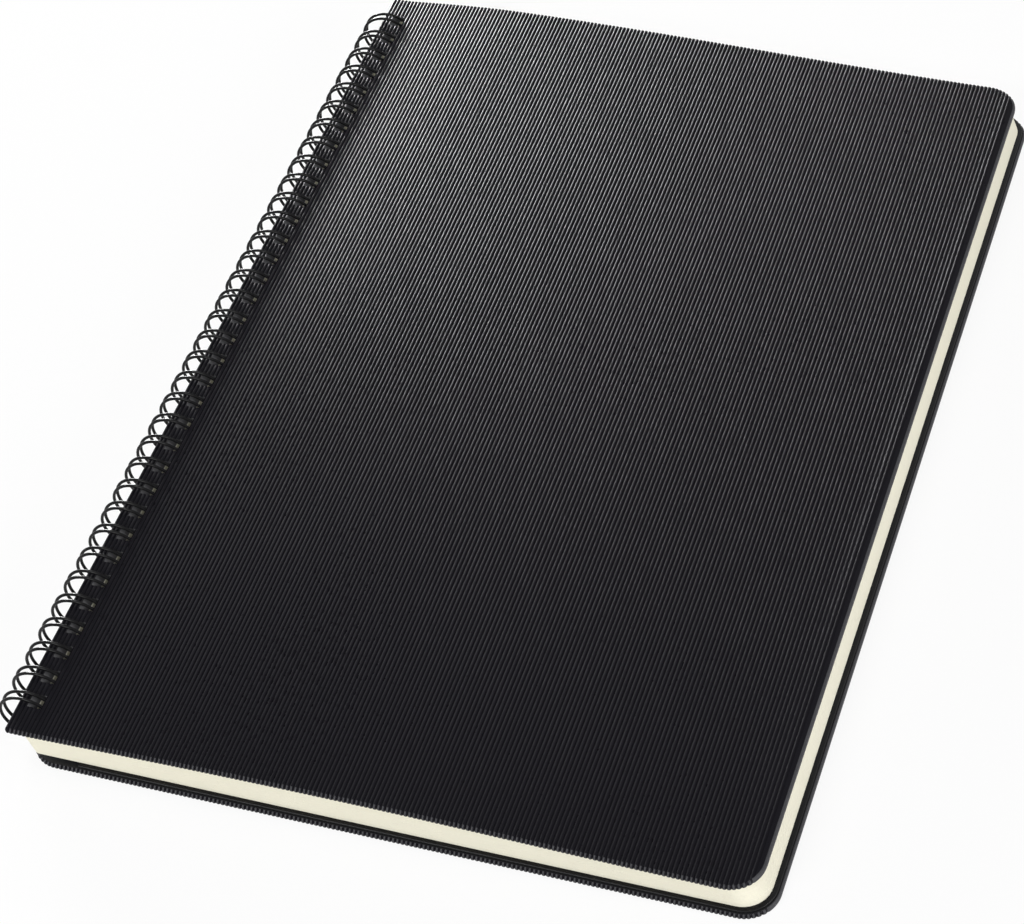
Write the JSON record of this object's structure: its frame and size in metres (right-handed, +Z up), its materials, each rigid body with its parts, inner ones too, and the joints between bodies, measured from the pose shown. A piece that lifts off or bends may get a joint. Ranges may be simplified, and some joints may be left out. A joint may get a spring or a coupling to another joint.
{
  "type": "spiral notebook",
  "caption": "Closed wire-bound notebook with ribbed black hard covers, cream pages and black twin-loop wire along one long edge; both covers swing about the wire.",
  "frame": {"origin": "centre of the closed notebook's box, on the surface that it lies on", "axes": "+Z up through the closed stack, +Y along the wire towards the head of the page, +X from the wire to the fore edge"},
  "size_m": [0.2166, 0.301, 0.0175],
  "materials": {
    "cover_board": "stiff board with a black finely ribbed surface",
    "black_card": "smooth black card",
    "paper": "matt cream paper",
    "black_wire": "glossy black coated steel wire"
  },
  "bodies": {
    "pages_and_wire": {"page_block": "paper", "wire_binding": "black_wire"},
    "front_cover": {"front_cover": "cover_board"},
    "back_cover": {"back_cover": "cover_board", "inner_pocket": "black_card"}
  },
  "joints": [
    {"name": "front_cover_hinge", "type": "hinge", "parent": "pages_and_wire", "child": "front_cover", "pos_m": [-0.09947, 0, 0.00883], "axis": [0, -1, 0], "range_deg": [0, 180]},
    {"name": "back_cover_hinge", "type": "hinge", "parent": "pages_and_wire", "child": "back_cover", "pos_m": [-0.09947, 0, 0.00883], "axis": [0, 1, 0], "range_deg": [0, 180]}
  ]
}
